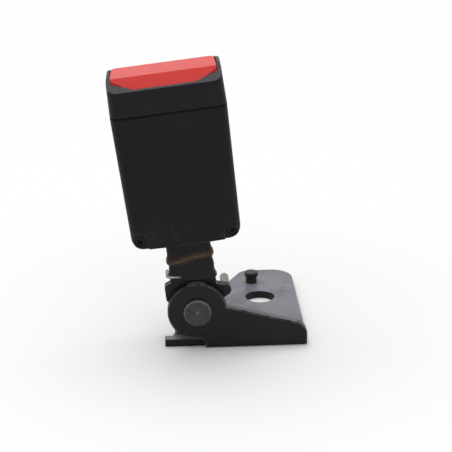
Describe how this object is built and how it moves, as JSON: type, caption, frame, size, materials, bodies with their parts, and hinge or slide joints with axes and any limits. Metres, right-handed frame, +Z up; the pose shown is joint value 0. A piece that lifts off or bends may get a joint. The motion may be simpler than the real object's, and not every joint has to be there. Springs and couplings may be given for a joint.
{
  "type": "seat belt buckle",
  "caption": "Seat belt buckle with a press button at its top end, on a steel strap that pivots on a bent anchor bracket with a bolt hole and a return spring.",
  "frame": {"origin": "centre of the anchor bolt hole on the underside of the bracket", "axes": "+X to the right of the bracket seen from the rivet's head, +Y from the rivet's head towards the bolt, +Z up out of the bracket's base"},
  "size_m": [0.0758, 0.0786, 0.1173],
  "materials": {
    "bracket_black": "glossy black paint with worn edges",
    "strap_black": "satin black",
    "rivet_steel": "dulled steel",
    "zinc_steel": "zinc plated",
    "bush_brass": "plain",
    "spring_wire": "worn wire",
    "pin_steel": "plain",
    "boot_rubber": "dusty black rubber",
    "housing_black": "fine matte texture",
    "cap_black": "smoother matte",
    "screw_black": "black",
    "button_red": "satin red",
    "ejector_plastic": "natural grey"
  },
  "bodies": {
    "anchor": {"anchor_bracket": "bracket_black", "locating_stud": "bracket_black", "pivot_rivet": "rivet_steel", "rivet_washer": "zinc_steel", "pivot_bush": "bush_brass", "torsion_spring": "spring_wire"},
    "buckle": {"strap": "strap_black", "stop_pin": "pin_steel", "strap_boot": "boot_rubber", "frame": "zinc_steel", "frame_rivets": "rivet_steel", "front_housing": "housing_black", "rear_housing": "housing_black", "housing_screws": "screw_black", "top_cap": "cap_black", "latch_pin": "pin_steel", "spring_carrier": "ejector_plastic", "button_springs": "spring_wire", "ejector_spring": "spring_wire"},
    "button": {"release_button": "button_red", "release_bar": "pin_steel"},
    "latch": {"latch": "zinc_steel"},
    "ejector": {"ejector": "ejector_plastic"}
  },
  "joints": [
    {"name": "strap_pivot", "type": "hinge", "parent": "anchor", "child": "buckle", "pos_m": [-0.0278, -0.0377, 0.016], "axis": [0, -1, 0], "range_deg": [0, 72], "stiffness_Nm_per_rad": 0.15, "springref_deg": -45.84, "deforming": ["torsion_spring"]},
    {"name": "button_press", "type": "slide", "parent": "buckle", "child": "button", "axis": [0.1115, 0, -0.9938], "range_m": [0, 0.006], "stiffness_N_per_m": 800, "springref_m": -0.006, "deforming": ["button_springs"]},
    {"name": "ejector_slide", "type": "slide", "parent": "buckle", "child": "ejector", "axis": [0.1115, 0, -0.9938], "range_m": [0, 0.01], "stiffness_N_per_m": 600, "springref_m": -0.005, "deforming": ["ejector_spring"]},
    {"name": "latch_pivot", "type": "hinge", "parent": "buckle", "child": "latch", "pos_m": [-0.03426, -0.0379, 0.07364], "axis": [-0.9938, 0, -0.1115], "range_deg": [0, 14]}
  ],
  "couplings": [
    {"joint": "latch_pivot", "follows": "ejector_slide", "rad_per_m": 24.432}
  ]
}
